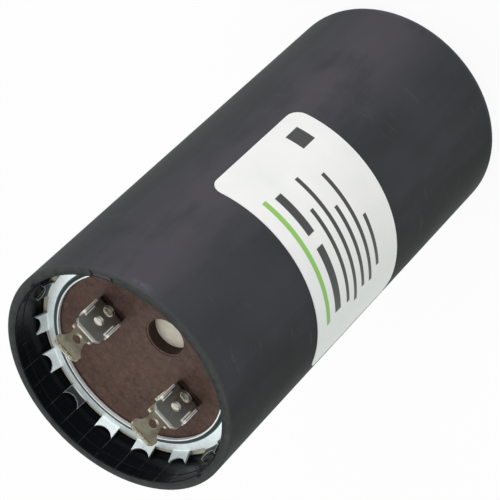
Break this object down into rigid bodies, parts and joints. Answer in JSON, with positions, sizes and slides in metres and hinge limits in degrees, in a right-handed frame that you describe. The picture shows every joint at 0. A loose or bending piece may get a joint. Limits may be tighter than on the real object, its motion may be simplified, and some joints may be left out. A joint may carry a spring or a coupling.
{
  "type": "motor start capacitor",
  "caption": "Round motor start capacitor in a black moulded case, with folded quick-connect blades, a vent hole and a toothed retaining ring in its open end.",
  "frame": {"origin": "centre of the closed end of the case, which the part stands on", "axes": "+Z along the case out of its open end; X along the line of the terminals; the vent hole is on the -Y side"},
  "size_m": [0.0524, 0.0525, 0.1119],
  "materials": {
    "case_phenolic": "black moulded phenolic, satin outside and glossy in the bore",
    "cover_laminate": "mottled brown laminate",
    "seal_rubber": "pale cream rubber",
    "zinc_plate": "zinc-plated sheet steel",
    "tinned_brass": "dull tinned brass, bright at cut edges",
    "rivet_metal": "plain metal",
    "washer_metal": "plain metal",
    "tab_metal": "plain foil strip",
    "roll": "wound foil and soaked paper",
    "wrap_paper": "kraft paper wrap",
    "label_paper": "white coated paper with plain bars"
  },
  "bodies": {
    "root": {"case": "case_phenolic", "cover_board": "cover_laminate", "rubber_seal": "seal_rubber", "retaining_ring": "zinc_plate", "terminal_left": "tinned_brass", "terminal_right": "tinned_brass", "rivet_left": "rivet_metal", "rivet_right": "rivet_metal", "rivet_washer_left": "washer_metal", "rivet_washer_right": "washer_metal", "lead_tab_left": "tab_metal", "lead_tab_right": "tab_metal", "winding_roll": "roll", "roll_wrap": "wrap_paper", "label": "label_paper"}
  },
  "joints": []
}
